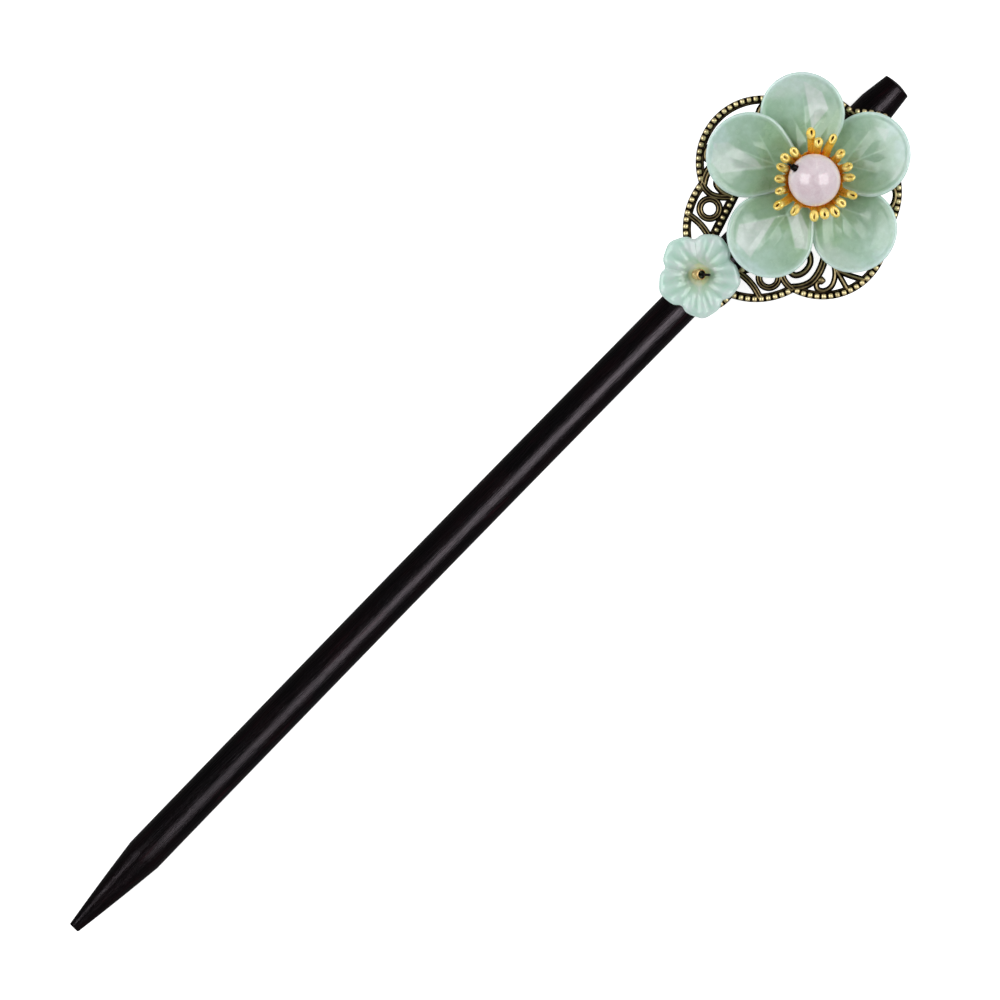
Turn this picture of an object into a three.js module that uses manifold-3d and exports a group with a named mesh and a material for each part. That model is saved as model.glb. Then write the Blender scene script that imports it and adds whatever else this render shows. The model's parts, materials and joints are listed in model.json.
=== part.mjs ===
// Decorative hair pin: a turned wooden stick that carries a pierced brass plate, a wired five-petal glass
// flower with gilt stamens and a stone bead, and a small pressed-glass flower.
// Millimetres. The origin is the centre of the stick's tip, +X runs along the stick to the head,
// +Z is the side that the flowers face.
import * as THREE from "three";
import { mergeVertices } from "three/addons/utils/BufferGeometryUtils.js";
import Module from "manifold-3d";

const wasm = await Module();
wasm.setup();

// ---------------------------------------------------------------- driving dimensions

const STICK = { length: 180, radius: 2.83, tipRadius: 0.9, tipTaper: 15.5, headRadius: 2.3, headTaper: 4.6 };
const GAP = 0.05; // running gap between pieces that bear on each other

// Pierced plate. Its own axis is turned a little from the stick's. Plate coordinates are (u, v):
// u along the plate's axis from the waist between its first and second lobes, v across it.
const PLATE = { x: 147.3, y: 0.1, turn: -5.1, bottom: 3.36, thickness: 0.8, rim: 1.15 };
const PLATE_TOP = PLATE.bottom + PLATE.thickness;

// Large flower. Each petal: bearing from the flower's centre, distance to the middle of its round blade,
// blade radius, lift of its root, and how far its blade is pitched up and tilted about its own length.
const FLOWER = { x: 160.7, y: -0.9, petalBase: PLATE_TOP + 0.44, rootReach: 2.4, holeReach: 3.4 };
const PETALS = [
  { name: "petal_1", bearing: 112.2, reach: 10.58, radius: 6.5, lift: 1.15, pitch: 5, tilt: -8 },
  { name: "petal_2", bearing: 50.9, reach: 10.3, radius: 6.35, lift: 0.9, pitch: 3, tilt: -10 },
  { name: "petal_3", bearing: -23.8, reach: 9.6, radius: 6.4, lift: 0.55, pitch: 3, tilt: -9 },
  { name: "petal_4", bearing: -95.9, reach: 10.1, radius: 6.45, lift: 0, pitch: 0, tilt: 0 },
  { name: "petal_5", bearing: 188.1, reach: 10.76, radius: 6.5, lift: 0.6, pitch: 1.5, tilt: 4 },
];
const PETAL = { middle: 1.15, edge: 0.85, cup: 1.6, rootCup: 0.3, breadth: 1.03, holeRadius: 0.45 };

const STAMENS = {
  bottom: 8.08, thickness: 0.35, hole: 2.85, radius: 3.75, wire: 0.42, headLength: 1.65, headWidth: 1.25,
};
// Each stamen: bearing in degrees, and how far out its head stands.
const STAMEN_HEADS = [
  [48.6, 7.3], [38, 5.9], [20, 7.0], [-0.5, 5.8], [-24, 5.6], [-41.6, 5.5],
  [-67.3, 6.3], [-86, 5.5], [-102.7, 5.9], [-119, 5.5], [-136, 5.6], [-168, 5.6],
  [169.6, 6.8], [152, 5.6], [132.3, 5.4], [113, 5.4], [97, 5.7], [80, 5.4],
];

const BEAD = { x: 160.8, y: -1.25, z: 12.05, radius: 4.0, bore: 0.6, bearing: 102.8, rise: 30 };
const BEAD_WIRE = { radius: 0.2, hug: 4.32, dive: 1.2, bend: 5.0 };
const SLEEVE = { inner: 0.28, outer: 0.5, from: 2.9, to: 4.6 };
const PETAL_WIRE = { radius: 0.15, innerLeg: 1.75, tail: 1.2 };
const WIRE_RUN = 3.1; // height of the wire tails, between the stick and the plate

const SMALL = { x: 138.2, y: 1.3, base: PLATE_TOP + 0.15, bearing: 15, lobe: 6.8, notch: 5.3, bore: 0.6 };
const SEED = { radius: 0.9, hole: 0.5, length: 1.6, height: 2.65, bearing: -48, rise: 55 };
const SMALL_WIRE = { radius: 0.2, leg: 0.27, tail: 1.6 };

const LASHING = { radius: 0.2, pitch: 0.46, turns: 3, side: 3.35, slot: 1.4 };
const LASHINGS = [
  { name: "lashing_shank", x: 134.85 },
  { name: "lashing_head", x: 168.9 },
];

// ---------------------------------------------------------------- helpers

const rad = THREE.MathUtils.degToRad;
const smooth = (t) => THREE.MathUtils.smoothstep(t, 0, 1);
const polar = (bearing, distance) => [distance * Math.cos(rad(bearing)), distance * Math.sin(rad(bearing))];

// A closed geometry as a manifold-3d solid.
function solid(geometry) {
  const bare = geometry.clone();
  bare.deleteAttribute("normal");
  bare.deleteAttribute("uv");
  const merged = mergeVertices(bare, 1e-4);
  const vertProperties = new Float32Array(merged.attributes.position.array);
  const triVerts = new Uint32Array(merged.index.array);
  return new wasm.Manifold(new wasm.Mesh({ numProp: 3, vertProperties, triVerts }));
}

// A manifold-3d solid as a three.js geometry.
function geometryOf(made) {
  const mesh = made.getMesh();
  const geometry = new THREE.BufferGeometry();
  geometry.setAttribute("position", new THREE.BufferAttribute(new Float32Array(mesh.vertProperties), 3));
  geometry.setIndex(new THREE.BufferAttribute(new Uint32Array(mesh.triVerts), 1));
  geometry.computeVertexNormals();
  return geometry;
}

function join(solids) {
  return solids.reduce((sum, next) => sum.add(next));
}

function cylinder(x, y, z, radius, height, sides = 16) {
  const upright = new THREE.CylinderGeometry(radius, radius, height, sides).rotateX(Math.PI / 2);
  return solid(upright.translate(x, y, z));
}

// A round wire along a smooth curve through the points.
function wire(points, radius, sides, steps) {
  const section = new THREE.Shape(
    Array.from({ length: sides }, (_, i) => new THREE.Vector2(...polar((360 * i) / sides, radius))),
  );
  const path = new THREE.CatmullRomCurve3(points.map((p) => new THREE.Vector3(...p)), false, "centripetal");
  return new THREE.ExtrudeGeometry(section, { steps, bevelEnabled: false, extrudePath: path });
}

function material(color, roughness, metalness) {
  return new THREE.MeshStandardMaterial({ color, roughness, metalness });
}

function mesh(name, geometry, look) {
  const made = new THREE.Mesh(geometry, look);
  made.name = name;
  return made;
}

const LOOKS = {
  wood: material(0x1d1416, 0.45, 0),
  brass: material(0x6e5c38, 0.45, 1),
  gilt: material(0xe0a030, 0.3, 1),
  glass: material(0xa6c9b6, 0.15, 0),
  stone: material(0xe3ccd2, 0.15, 0),
  dark: material(0x0c0a09, 0.5, 0),
};

// ---------------------------------------------------------------- stick

function stick() {
  const s = STICK;
  const profile = [
    [0, 0],
    [s.tipRadius, 0],
    [s.radius, s.tipTaper],
    [s.radius, s.length - s.headTaper],
    [s.headRadius, s.length],
    [0, s.length],
  ].map(([r, x]) => new THREE.Vector2(r, x));
  return mesh("stick", new THREE.LatheGeometry(profile, 32).rotateZ(-Math.PI / 2), LOOKS.wood);
}

// ---------------------------------------------------------------- pierced plate

// Points along the circular arc from a to b that bulges to the left by the given height.
function arc(a, b, bulge, steps) {
  const [du, dv] = [b[0] - a[0], b[1] - a[1]];
  const chord = Math.hypot(du, dv);
  const radius = (chord * chord) / (8 * bulge) + bulge / 2;
  const left = [-dv / chord, du / chord];
  const centre = [0, 1].map((i) => (a[i] + b[i]) / 2 + left[i] * (bulge - radius));
  const half = Math.atan2(chord / 2, radius - bulge);
  const middle = Math.atan2(left[1], left[0]);
  return Array.from({ length: steps + 1 }, (_, i) => {
    const angle = middle + half * (1 - (2 * i) / steps);
    return [centre[0] + radius * Math.cos(angle), centre[1] + radius * Math.sin(angle)];
  });
}

// Half of the outline, on the side where v is positive: lobe after lobe from the foot to the head.
const FOOT = [-13.6, 0];
const LOBES = [
  { to: [-7.7, 5.6], bulge: 2.2, steps: 6 },
  { to: [0, 11.1], bulge: 1.0, steps: 6 },
  { to: [17.3, 13.6], bulge: 4.9, steps: 12 },
  { to: [25.2, 4.3], bulge: 1.9, steps: 7 },
  { to: [28.8, 0], bulge: 0.35, steps: 3 },
];

function outline() {
  const half = [FOOT];
  for (const lobe of LOBES) half.push(...arc(half.at(-1), lobe.to, lobe.bulge, lobe.steps).slice(1));
  const mirrored = half.slice(1, -1).map(([u, v]) => [u, -v]).reverse();
  return [...half, ...mirrored];
}

// The outline moved inwards by the rim's width.
function inset(points, distance) {
  return points.map((p, i) => {
    const before = points.at(i - 1);
    const after = points[(i + 1) % points.length];
    const [du, dv] = [after[0] - before[0], after[1] - before[1]];
    const length = Math.hypot(du, dv);
    return [p[0] + (dv / length) * distance, p[1] - (du / length) * distance];
  });
}

function slab(points) {
  const shape = new THREE.Shape(points.map((p) => new THREE.Vector2(...p)));
  return solid(new THREE.ExtrudeGeometry(shape, { depth: PLATE.thickness, bevelEnabled: false }));
}

// A flat strip of the plate along a curve through points (u, v).
function ribbon(points, width, steps) {
  const line = points.length === 2 ? points.map((p) => new THREE.Vector2(...p))
    : new THREE.SplineCurve(points.map((p) => new THREE.Vector2(...p))).getPoints(steps);
  const sides = [[], []];
  line.forEach((p, i) => {
    const along = line[Math.min(i + 1, line.length - 1)].clone().sub(line[Math.max(i - 1, 0)]).normalize();
    sides[0].push([p.x - (along.y * width) / 2, p.y + (along.x * width) / 2]);
    sides[1].unshift([p.x + (along.y * width) / 2, p.y - (along.x * width) / 2]);
  });
  return slab([...sides[1].reverse(), ...sides[0].reverse()]);
}

// A flat ring of the plate.
function ring(u, v, outer, inner) {
  const disc = (radius, height) => cylinder(u, v, PLATE.thickness / 2, radius, height, 14);
  return disc(outer, PLATE.thickness).subtract(disc(inner, 3));
}

// The scrollwork of one side, as strips through points (u, v) with their widths. A strip with an
// "only" is on that side alone; all others are mirrored.
const SCROLLS = [
  { points: [[-3.6, 3.4], [3.2, 6.2]], width: 1.5, steps: 1 },
  { points: [[-4.3, 3.2], [-4.0, 5.0], [-4.0, 6.5], [-4.4, 8.6]], width: 1.1, steps: 5 },
  { points: [[-7.8, 5.2], [-5.8, 3.6], [-3.6, 3.2]], width: 1.0, steps: 4 },
  { points: [[0.3, 10.8], [0.1, 9.5], [0.3, 8.3], [1.2, 7.1], [2.8, 5.8]], width: 1.1, steps: 7 },
  {
    points: [[0.3, 10.4], [1.7, 11.3], [3.3, 11.7], [5.1, 11.3], [6.8, 10.4], [8.6, 8.9], [9.6, 6.6]],
    width: 1.3,
    steps: 12,
  },
  {
    points: [[2.5, 6.0], [1.8, 7.6], [1.9, 9.2], [3.3, 9.8], [5.0, 9.3], [5.8, 7.8], [4.9, 6.4]],
    width: 1.0,
    steps: 14,
  },
  {
    points: [
      [4.5, 12.5], [3.6, 12.4], [3.2, 13.1], [3.7, 13.9], [4.9, 14.2], [6.2, 13.6], [7.3, 12.3], [8.1, 10.0],
    ],
    width: 0.9,
    steps: 14,
  },
  { points: [[7.3, 12.6], [6.6, 16.2]], width: 0.9, steps: 1, only: -1 },
  { points: [[7.3, 12.7], [8.2, 14.6], [9.6, 16.8]], width: 0.95, steps: 3, only: -1 },
  { points: [[7.6, 12.2], [10.2, 13.9], [12.6, 16.0]], width: 0.95, steps: 3, only: -1 },
  {
    points: [[8.6, 9.8], [11.6, 11.6], [14.2, 11.2], [15.2, 9.2], [13.8, 7.4], [12.1, 8.6]],
    width: 1.1,
    steps: 11,
  },
  { points: [[11.8, 11.4], [14.6, 13.6], [17.2, 13.2]], width: 1.0, steps: 4 },
  { points: [[17.2, 13.2], [17.6, 10.2], [16.6, 6.6]], width: 1.1, steps: 4 },
  {
    points: [[17.5, 9.6], [19.8, 11.0], [22.0, 9.4], [21.4, 6.9], [19.2, 6.8], [18.9, 8.6]],
    width: 1.0,
    steps: 11,
  },
  { points: [[24.6, 5.0], [25.2, 2.6], [27.6, 1.0]], width: 1.0, steps: 4 },
];
const RINGLETS = [{ u: -1.35, v: 6.95, outer: 1.9, inner: 1.1 }];
const SPINE = { from: -13, to: 28, width: 2.0 };
const HUB = { radius: 4.9, opening: 2.15 };

function plate() {
  const edge = outline();
  const pieces = [slab(edge).subtract(slab(inset(edge, PLATE.rim)))];
  for (const side of [1, -1]) {
    const turned = (p) => [p[0], p[1] * side];
    const present = SCROLLS.filter(({ only }) => !only || only === side);
    for (const { points, width, steps } of present) pieces.push(ribbon(points.map(turned), width, steps));
    for (const { u, v, outer, inner } of RINGLETS) pieces.push(ring(u, v * side, outer, inner));
  }
  pieces.push(ribbon([[SPINE.from, 0], [SPINE.to, 0]], SPINE.width, 1));
  const flat = join(pieces)
    .rotate([0, 0, PLATE.turn])
    .translate([PLATE.x, PLATE.y, PLATE.bottom]);
  const middle = PLATE.bottom + PLATE.thickness / 2;
  let whole = flat
    .add(cylinder(FLOWER.x, FLOWER.y, middle, HUB.radius, PLATE.thickness, 28))
    .add(cylinder(SMALL.x, SMALL.y, middle, 1.9, PLATE.thickness, 16))
    .subtract(cylinder(FLOWER.x, FLOWER.y, middle, HUB.opening, 3, 20))
    .subtract(cylinder(SMALL.x, SMALL.y, middle, 0.6, 3, 10));
  for (const petal of PETALS) {
    const [dx, dy] = polar(petal.bearing, FLOWER.holeReach);
    whole = whole.subtract(cylinder(FLOWER.x + dx, FLOWER.y + dy, middle, 0.35, 3, 8));
  }
  // Room beside the spine for the lashings to pass down to the stick.
  for (const lashing of LASHINGS) {
    const length = LASHING.pitch * LASHING.turns + 2 * LASHING.radius + 0.6;
    for (const side of [1, -1]) {
      const slot = new THREE.BoxGeometry(length, LASHING.slot, 3);
      slot.translate(lashing.x + (LASHING.pitch * LASHING.turns) / 2, side * (LASHING.side - 0.2), middle);
      whole = whole.subtract(solid(slot));
    }
  }
  return mesh("filigree_plate", geometryOf(whole), LOOKS.brass);
}

// ---------------------------------------------------------------- petals

// Distance from the middle of the blade to its edge, seen at an angle from the direction of the root.
function bladeEdge(angle, radius, root) {
  const away = Math.abs(THREE.MathUtils.radToDeg(angle));
  const waist = 0.012 * Math.exp(-(((away - 50) / 20) ** 2));
  const neck = (root / radius - 1) * Math.exp(-((away / 31) ** 2));
  return radius * (1 - waist + neck);
}

// One petal, with its root towards the origin and its blade along +X.
function petalGeometry({ reach, radius }) {
  const blade = new THREE.SphereGeometry(1, 26, 8).rotateX(Math.PI / 2);
  const position = blade.attributes.position;
  for (let i = 0; i < position.count; i++) {
    const [x, y, z] = [position.getX(i), position.getY(i), position.getZ(i)];
    const share = Math.min(1, Math.hypot(x, y));
    const angle = Math.atan2(y, -x);
    const distance = share * bladeEdge(angle, radius, reach - FLOWER.rootReach);
    const outward = (1 - Math.cos(angle)) / 2;
    const rise = PETAL.cup * share ** 2 * THREE.MathUtils.lerp(PETAL.rootCup, 1, outward);
    const half = (THREE.MathUtils.lerp(PETAL.middle, PETAL.edge, share) / 2) * Math.sqrt(1 - share ** 10);
    const length = Math.hypot(x, y) || 1;
    const height = PETAL.middle / 2 + rise + Math.sign(z) * half;
    const across = (y / length) * distance * PETAL.breadth;
    position.setXYZ(i, reach + (x / length) * distance, across, height);
  }
  return geometryOf(solid(blade).subtract(cylinder(FLOWER.holeReach, 0, 0, PETAL.holeRadius, 8, 10)));
}

function petals() {
  return PETALS.map((petal) => {
    const made = mesh(petal.name, petalGeometry(petal), LOOKS.glass);
    made.position.set(FLOWER.x, FLOWER.y, FLOWER.petalBase + petal.lift);
    made.rotation.set(rad(petal.tilt), -rad(petal.pitch), rad(petal.bearing), "ZYX");
    return made;
  });
}

// A wire staple over each petal's root: up through the plate and the petal, down through the hub.
function petalWires() {
  return PETALS.map((petal, i) => {
    const top = FLOWER.petalBase + petal.lift + FLOWER.holeReach * Math.sin(rad(petal.pitch)) + 1.7;
    const place = (reach, z) => {
      const [dx, dy] = polar(petal.bearing, reach);
      return [FLOWER.x + dx, FLOWER.y + dy, z];
    };
    const { innerLeg, tail } = PETAL_WIRE;
    const outerLeg = FLOWER.holeReach;
    const points = [
      place(innerLeg + tail, WIRE_RUN), place(innerLeg + 0.25, WIRE_RUN), place(innerLeg, WIRE_RUN + 0.3),
      place(innerLeg, top - 0.45), place(innerLeg + 0.35, top), place(outerLeg - 0.35, top),
      place(outerLeg, top - 0.45), place(outerLeg, WIRE_RUN + 0.3), place(outerLeg + 0.25, WIRE_RUN),
      place(outerLeg + tail, WIRE_RUN),
    ];
    return mesh(`petal_wire_${i + 1}`, wire(points, PETAL_WIRE.radius, 6, 22), LOOKS.gilt);
  });
}

// ---------------------------------------------------------------- stamens

// A gilt washer with a crown of filaments that stand up round the bead, each ending in a small knob.
function stamens() {
  const s = STAMENS;
  const washer = new THREE.LatheGeometry(
    [[s.hole, 0], [s.radius, 0], [s.radius, s.thickness], [s.hole, s.thickness],
      [s.hole, 0]].map((p) => new THREE.Vector2(...p)), 36).rotateX(Math.PI / 2);
  const parts = [solid(washer)];
  for (const [bearing, reach] of STAMEN_HEADS) {
    const rise = 2.9 - 0.35 * (reach - 5.4);
    const at = (distance, z) => [...polar(bearing, distance), z];
    const root = s.radius - 0.5;
    const stem = [at(root, s.wire), at(s.radius + 0.25, s.wire + 0.1),
      at((s.radius + reach) / 2, s.wire + rise * 0.5), at(reach, s.wire + rise)];
    parts.push(solid(wire(stem, s.wire, 5, 4)));
    const head = new THREE.SphereGeometry(0.5, 6, 4).rotateX(Math.PI / 2);
    head.scale(s.headLength, s.headWidth, s.headWidth).rotateZ(rad(bearing));
    parts.push(solid(head.translate(...at(reach, s.wire + rise))));
  }
  const made = mesh("stamen_crown", geometryOf(join(parts)), LOOKS.gilt);
  made.position.set(BEAD.x, BEAD.y, s.bottom);
  return made;
}

// ---------------------------------------------------------------- centre bead and its wire

// Direction of a bead's bore, from its bearing and its rise above the horizontal.
function axisOf({ bearing, rise }) {
  return new THREE.Vector3(...polar(bearing, Math.cos(rad(rise))), Math.sin(rad(rise)));
}

function bead() {
  const end = Math.sqrt(BEAD.radius ** 2 - BEAD.bore ** 2);
  const polarEnd = Math.acos(end / BEAD.radius);
  const steps = 12;
  const profile = Array.from({ length: steps + 1 }, (_, i) => {
    const angle = Math.PI - polarEnd - ((Math.PI - 2 * polarEnd) * i) / steps;
    return new THREE.Vector2(BEAD.radius * Math.sin(angle), BEAD.radius * Math.cos(angle));
  });
  profile.push(profile[0].clone());
  const made = mesh("centre_bead", new THREE.LatheGeometry(profile, 24), LOOKS.stone);
  made.position.set(BEAD.x, BEAD.y, BEAD.z);
  made.quaternion.setFromUnitVectors(new THREE.Vector3(0, 1, 0), axisOf(BEAD));
  return made;
}

// The wire through the bead hugs its sides and dives through the middle of the crown and the plate.
function beadWire() {
  const { hug, dive, bend } = BEAD_WIRE;
  const at = (across, z) => {
    const [dx, dy] = polar(BEAD.bearing, across);
    return [BEAD.x + dx, BEAD.y + dy, BEAD.z + z];
  };
  const hugging = (degrees) => at(hug * Math.cos(rad(degrees)), hug * Math.sin(rad(degrees)));
  const lowest = WIRE_RUN - BEAD.z;
  const last = THREE.MathUtils.radToDeg(Math.acos(dive / hug));
  const tail = (start, bearing) => [0.3, 1.9].map((far) => {
    const [dx, dy] = polar(bearing, far);
    return [start[0] + dx, start[1] + dy, WIRE_RUN];
  });
  const arcOf = (from, to) => Array.from({ length: 7 }, (_, i) => hugging(from + ((to - from) * i) / 6));
  const near = at(dive, lowest + 0.35);
  const far = at(-dive, lowest + 0.35);
  const slope = rad(BEAD.rise);
  const along = (t) => at(t * Math.cos(slope), t * Math.sin(slope));
  const bore = [bend, bend - 0.4, bend - 0.9, 2.5, 0, -2.5, -3.8].map(along);
  const points = [
    ...tail(near, 160).reverse(), near, at(dive, -5.6), ...arcOf(-last, 0), at(hug + 0.35, 1.3), ...bore,
    ...arcOf(180 + BEAD.rise + 9, 180 + last), at(-dive, -5.6), far, ...tail(far, -60),
  ];
  return mesh("bead_wire", wire(points, BEAD_WIRE.radius, 6, 72), LOOKS.dark);
}

// A short dark sleeve on the wire where it leaves the bead's upper mouth.
function beadSleeve() {
  const { inner, outer, from, to } = SLEEVE;
  const profile = [[inner, from], [outer, from], [outer, to], [inner, to], [inner, from]];
  const tube = new THREE.LatheGeometry(profile.map((p) => new THREE.Vector2(...p)), 16);
  const made = mesh("bead_sleeve", tube, LOOKS.dark);
  made.position.set(BEAD.x, BEAD.y, BEAD.z);
  made.quaternion.setFromUnitVectors(new THREE.Vector3(0, 1, 0), axisOf(BEAD));
  return made;
}

// ---------------------------------------------------------------- small flower

// Five-lobed bell with a waisted throat. The profile is (radius, height), closed on itself.
function smallFlower() {
  const tip = 6.1;
  const profile = [
    [SMALL.bore, 0], [1.2, 0], [1.6, 0.55], [2.6, 0.75], [4.6, 1.1], [tip, 1.45], [5.8, 1.95], [4.6, 2.1],
    [3.0, 1.9], [2.0, 1.5], [1.3, 1.1], [SMALL.bore, 1.0], [SMALL.bore, 0],
  ].map((p) => new THREE.Vector2(...p));
  const bell = new THREE.LatheGeometry(profile, 35).rotateX(Math.PI / 2);
  const position = bell.attributes.position;
  for (let i = 0; i < position.count; i++) {
    const [x, y] = [position.getX(i), position.getY(i)];
    const r = Math.hypot(x, y);
    const lobing = Math.abs(Math.cos(2.5 * Math.atan2(y, x))) ** 0.7;
    const lobe = THREE.MathUtils.lerp(SMALL.notch, SMALL.lobe, lobing);
    const grow = 1 + (lobe / tip - 1) * smooth((r - 1.7) / (tip - 1.7));
    position.setXY(i, x * grow, y * grow);
  }
  const made = mesh("small_flower", bell, LOOKS.glass);
  made.position.set(SMALL.x, SMALL.y, SMALL.base);
  made.rotation.z = rad(SMALL.bearing);
  return made;
}

function seedBead() {
  const { radius, hole, length } = SEED;
  const half = length / 2;
  const profile = [
    [hole, -half], [radius * 0.75, -half], [radius, -half * 0.5], [radius, half * 0.5],
    [radius * 0.75, half], [hole, half], [hole, -half],
  ].map((p) => new THREE.Vector2(...p));
  const made = mesh("seed_bead", new THREE.LatheGeometry(profile, 16), LOOKS.gilt);
  made.position.set(SMALL.x, SMALL.y, SMALL.base + SEED.height);
  made.quaternion.setFromUnitVectors(new THREE.Vector3(0, 1, 0), axisOf(SEED));
  return made;
}

// A loop through the seed bead. Its two legs go down the small flower's bore and fold out under the plate.
function smallFlowerWire() {
  const { leg, tail } = SMALL_WIRE;
  const at = (across, z) => {
    const [dx, dy] = polar(SEED.bearing, across);
    return [SMALL.x + dx, SMALL.y + dy, SMALL.base + z];
  };
  const run = WIRE_RUN - SMALL.base;
  const upTo = (s) => [
    at(s * tail, run), at(s * (leg + 0.25), run), at(s * leg, run + 0.35), at(s * leg, 0), at(s * leg, 0.9),
    at(s * (leg + 0.09), 1.14),
  ];
  const slope = rad(SEED.rise);
  const along = (t) => at(t * Math.cos(slope), SEED.height + t * Math.sin(slope));
  const hole = [1.3, 0.6, 0, -0.7, -1.15].map(along);
  const points = [
    ...upTo(1), at(0.85, 1.42), at(1.35, 1.85), at(1.6, 2.6), at(1.6, 3.2), at(1.3, 3.75), ...hole,
    at(-0.72, 1.45), at(-0.5, 1.25), ...upTo(-1).reverse(),
  ];
  return mesh("small_flower_wire", wire(points, SMALL_WIRE.radius, 6, 56), LOOKS.dark);
}

// ---------------------------------------------------------------- lashings

// Wire wound round the stick and over the plate's spine.
function lashing({ name, x }) {
  const across = LASHING.side;
  const over = PLATE_TOP + LASHING.radius + 2 * GAP;
  const under = STICK.radius + LASHING.radius + 2 * GAP;
  const turn = [];
  for (const degrees of [0, 30, 60, 90, 120, 150, 180]) {
    turn.push([under * Math.cos(rad(degrees)) * (across / under), -under * Math.sin(rad(degrees))]);
  }
  turn.push([-across, 2.0], [-across, over - 0.45], [-across + 0.4, over], [0, over], [across - 0.4, over],
    [across, over - 0.45], [across, 2.0]);
  const points = [];
  for (let n = 0; n < LASHING.turns; n++) {
    turn.forEach(([y, z], i) => points.push([x + LASHING.pitch * (n + i / turn.length), y, z]));
  }
  return mesh(name, wire(points, LASHING.radius, 6, 16 * LASHING.turns), LOOKS.brass);
}

// ---------------------------------------------------------------- assembly

const pin = new THREE.Group();
pin.add(stick(), plate(), ...LASHINGS.map(lashing));
pin.add(...petals(), ...petalWires(), stamens(), bead(), beadWire(), beadSleeve());
pin.add(smallFlower(), seedBead(), smallFlowerWire());

export default pin;
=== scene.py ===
import json
import math
import random

import bmesh
import bpy
import numpy as np
from mathutils import Matrix, Vector


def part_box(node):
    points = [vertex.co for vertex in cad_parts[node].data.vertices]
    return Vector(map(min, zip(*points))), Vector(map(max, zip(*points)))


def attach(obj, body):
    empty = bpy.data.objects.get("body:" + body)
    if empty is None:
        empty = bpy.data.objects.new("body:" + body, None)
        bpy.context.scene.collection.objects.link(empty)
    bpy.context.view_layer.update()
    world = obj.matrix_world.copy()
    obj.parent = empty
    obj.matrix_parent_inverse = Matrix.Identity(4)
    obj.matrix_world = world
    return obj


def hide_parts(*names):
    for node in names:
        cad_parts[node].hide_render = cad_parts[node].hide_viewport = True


# The looks of a decorative hair pin, built around its CAD frame. Lengths in this script are millimetres
# until piece() turns them into Blender's metres, but the lights are in metres. X runs from the stick's tip
# to its head, Z is up.

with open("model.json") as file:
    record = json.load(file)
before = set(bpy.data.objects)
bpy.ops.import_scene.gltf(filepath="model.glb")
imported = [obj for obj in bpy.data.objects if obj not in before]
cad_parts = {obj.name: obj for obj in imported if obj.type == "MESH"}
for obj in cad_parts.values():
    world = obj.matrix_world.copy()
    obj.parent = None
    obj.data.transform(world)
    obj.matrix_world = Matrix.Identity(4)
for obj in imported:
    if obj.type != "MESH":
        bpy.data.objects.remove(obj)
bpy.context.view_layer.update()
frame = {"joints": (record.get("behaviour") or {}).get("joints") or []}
MM = 0.001
SEED = 11
JOINTS = {joint["name"]: joint for joint in frame["joints"]}


def box_mm(node):
    """The lowest and highest corners of a CAD node in millimetres."""
    low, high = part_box(node)
    return np.array(low) / MM, np.array(high) / MM


# -------- places, from the frame and the CAD's dimensions

STICK_HIGH = box_mm("stick")[1]
PLATE_LOW, PLATE_HIGH = box_mm("filigree_plate")
PLATE_BOTTOM = PLATE_LOW[2]
PLATE_TOP = PLATE_HIGH[2]
BEAD_CENTRE = np.array(JOINTS["centre_bead_spin"]["pos_m"]) / MM
BEAD_AXIS = np.array(JOINTS["centre_bead_spin"]["axis"])
SMALL_CENTRE = np.array(JOINTS["small_flower_spin"]["pos_m"]) / MM
SMALL_BASE = box_mm("small_flower")[0][2]
CROWN_BOTTOM = 8.08  # the underside of the stamens' washer

# The CAD stick's own sizes, but a polish that makes it a little thicker and a crowned end past its flat one.
STICK = {"length": STICK_HIGH[0], "radius": STICK_HIGH[1] + 0.05, "tip_radius": 0.9, "tip_taper": 15.5,
         "head_radius": 2.3, "head_taper": 4.6, "belly": 0.03, "ease": 0.2, "crown": 0.28, "past": 0.4}
# The slight sideways bow of the wood. Its middle stands off the straight axis by its share of the depth, and
# the points at its reach from there by the rest of the depth, to the other side.
BOW = {"middle": 85.0, "reach": 90.0, "depth": 0.40, "share": 0.50}

PLATE = {"x": 147.3, "y": 0.1, "turn": -5.1}
FLOWER = {"x": 160.7, "y": -0.9, "base": PLATE_TOP + 0.44, "root": 2.4, "hole": 3.4}
# Petals: bearing, distance to the blade's middle, blade radius, root lift, pitch and tilt, then the
# creases pressed into the face: where each starts on the petal's axis, its direction and its length.
PETALS = {
    "petal_1": (112.2, 10.58, 6.5, 1.15, 5, -8, [(5.0, -1, 9.6), (6.1, -40, 6.6), (5.6, 26, 8.0)]),
    "petal_2": (50.9, 10.3, 6.35, 0.9, 3, -10, [(5.0, -2, 9.8), (6.1, -42, 5.6), (5.4, 22, 5.2)]),
    "petal_3": (-23.8, 9.6, 6.4, 0.55, 3, -9, [(4.6, 0, 9.0), (4.8, 29, 7.6), (5.6, -36, 5.6)]),
    "petal_4": (-95.9, 10.1, 6.45, 0.0, 0, 0, [(4.6, 1, 8.0), (5.0, 30, 6.4), (4.8, -38, 6.6)]),
    "petal_5": (188.1, 10.76, 6.5, 0.6, 1.5, 4, [(5.0, 0, 10.4), (6.8, -42, 6.6), (6.4, 50, 5.6)]),
}
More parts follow.
